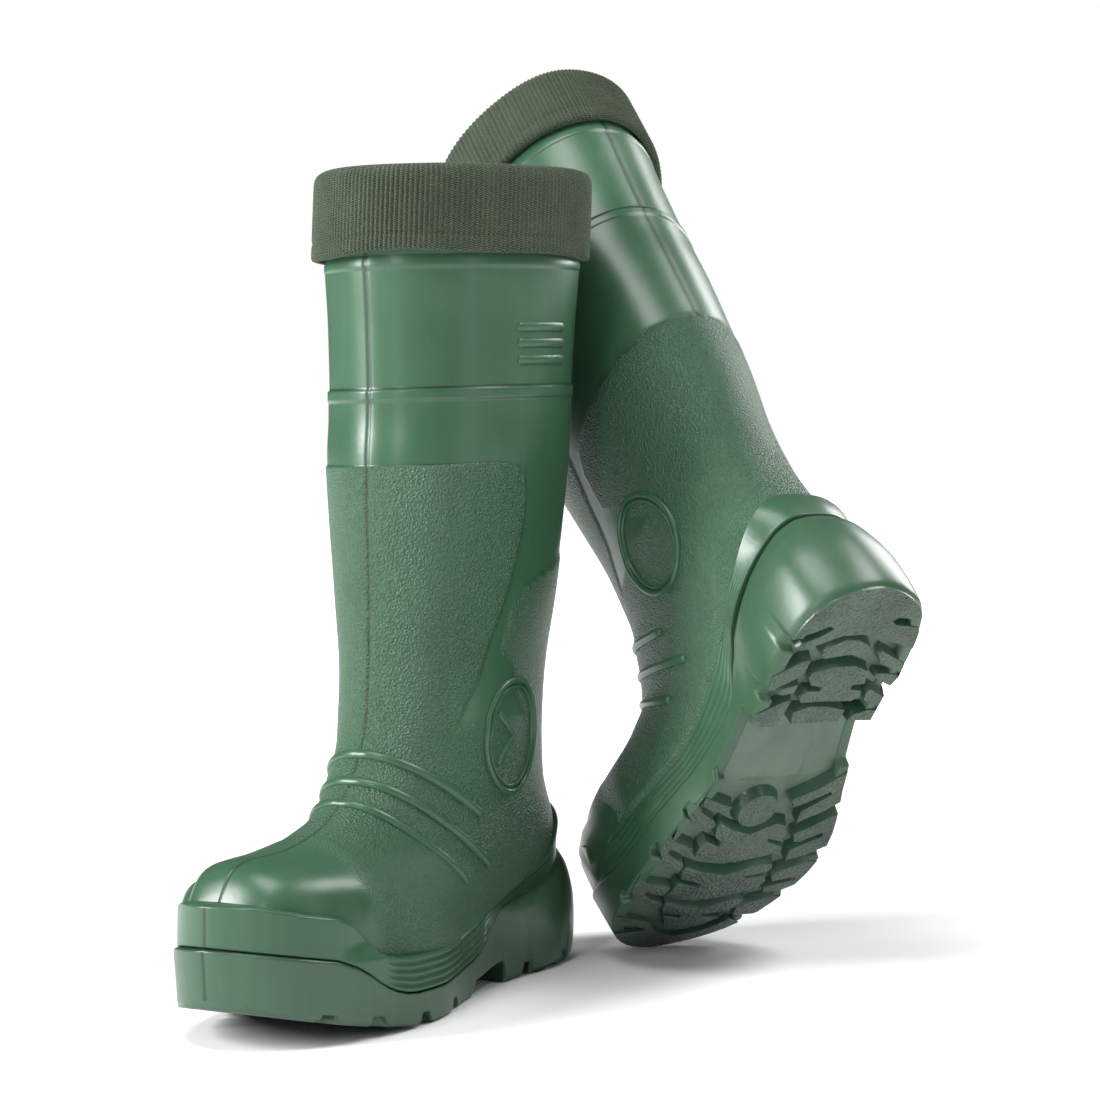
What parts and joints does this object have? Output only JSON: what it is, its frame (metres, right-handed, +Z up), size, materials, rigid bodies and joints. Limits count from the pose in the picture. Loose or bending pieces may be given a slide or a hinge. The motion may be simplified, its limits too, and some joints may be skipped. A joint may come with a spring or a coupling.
{
  "type": "insulated hunting boots",
  "caption": "Pair of knee-high moulded foam hunting boots with lugged soles and removable felt liners whose knitted cuffs fold over the rims.",
  "frame": {"origin": "centre of the pair's bounding box in plan, on the ground", "axes": "+Z up; the left boot stands with its toe towards -Y and its little-toe side towards +X"},
  "size_m": [0.4112, 0.522, 0.5385],
  "materials": {
    "shell": "moulded foam, satin, with leather-grained panels",
    "outsole": "matt, pebbled lug faces",
    "insole": "pressed felt",
    "liner_felt": "needled felt",
    "liner_pile": "short fleece pile",
    "liner_cuff": "ribbed knit"
  },
  "bodies": {
    "left_boot": {"left_shell": "shell", "left_outsole": "outsole", "left_insole": "insole", "left_liner_felt": "liner_felt", "left_liner_pile": "liner_pile", "left_liner_cuff": "liner_cuff"},
    "right_boot": {"right_shell": "shell", "right_outsole": "outsole", "right_insole": "insole", "right_liner_felt": "liner_felt", "right_liner_pile": "liner_pile", "right_liner_cuff": "liner_cuff"}
  },
  "joints": [
    {"name": "right_boot_tip", "type": "hinge", "parent": "left_boot", "child": "right_boot", "pos_m": [0.01128, 0.08088, 0.05851], "axis": [-0.5259, -0.8505, 0], "range_deg": [0, 60.5]}
  ]
}
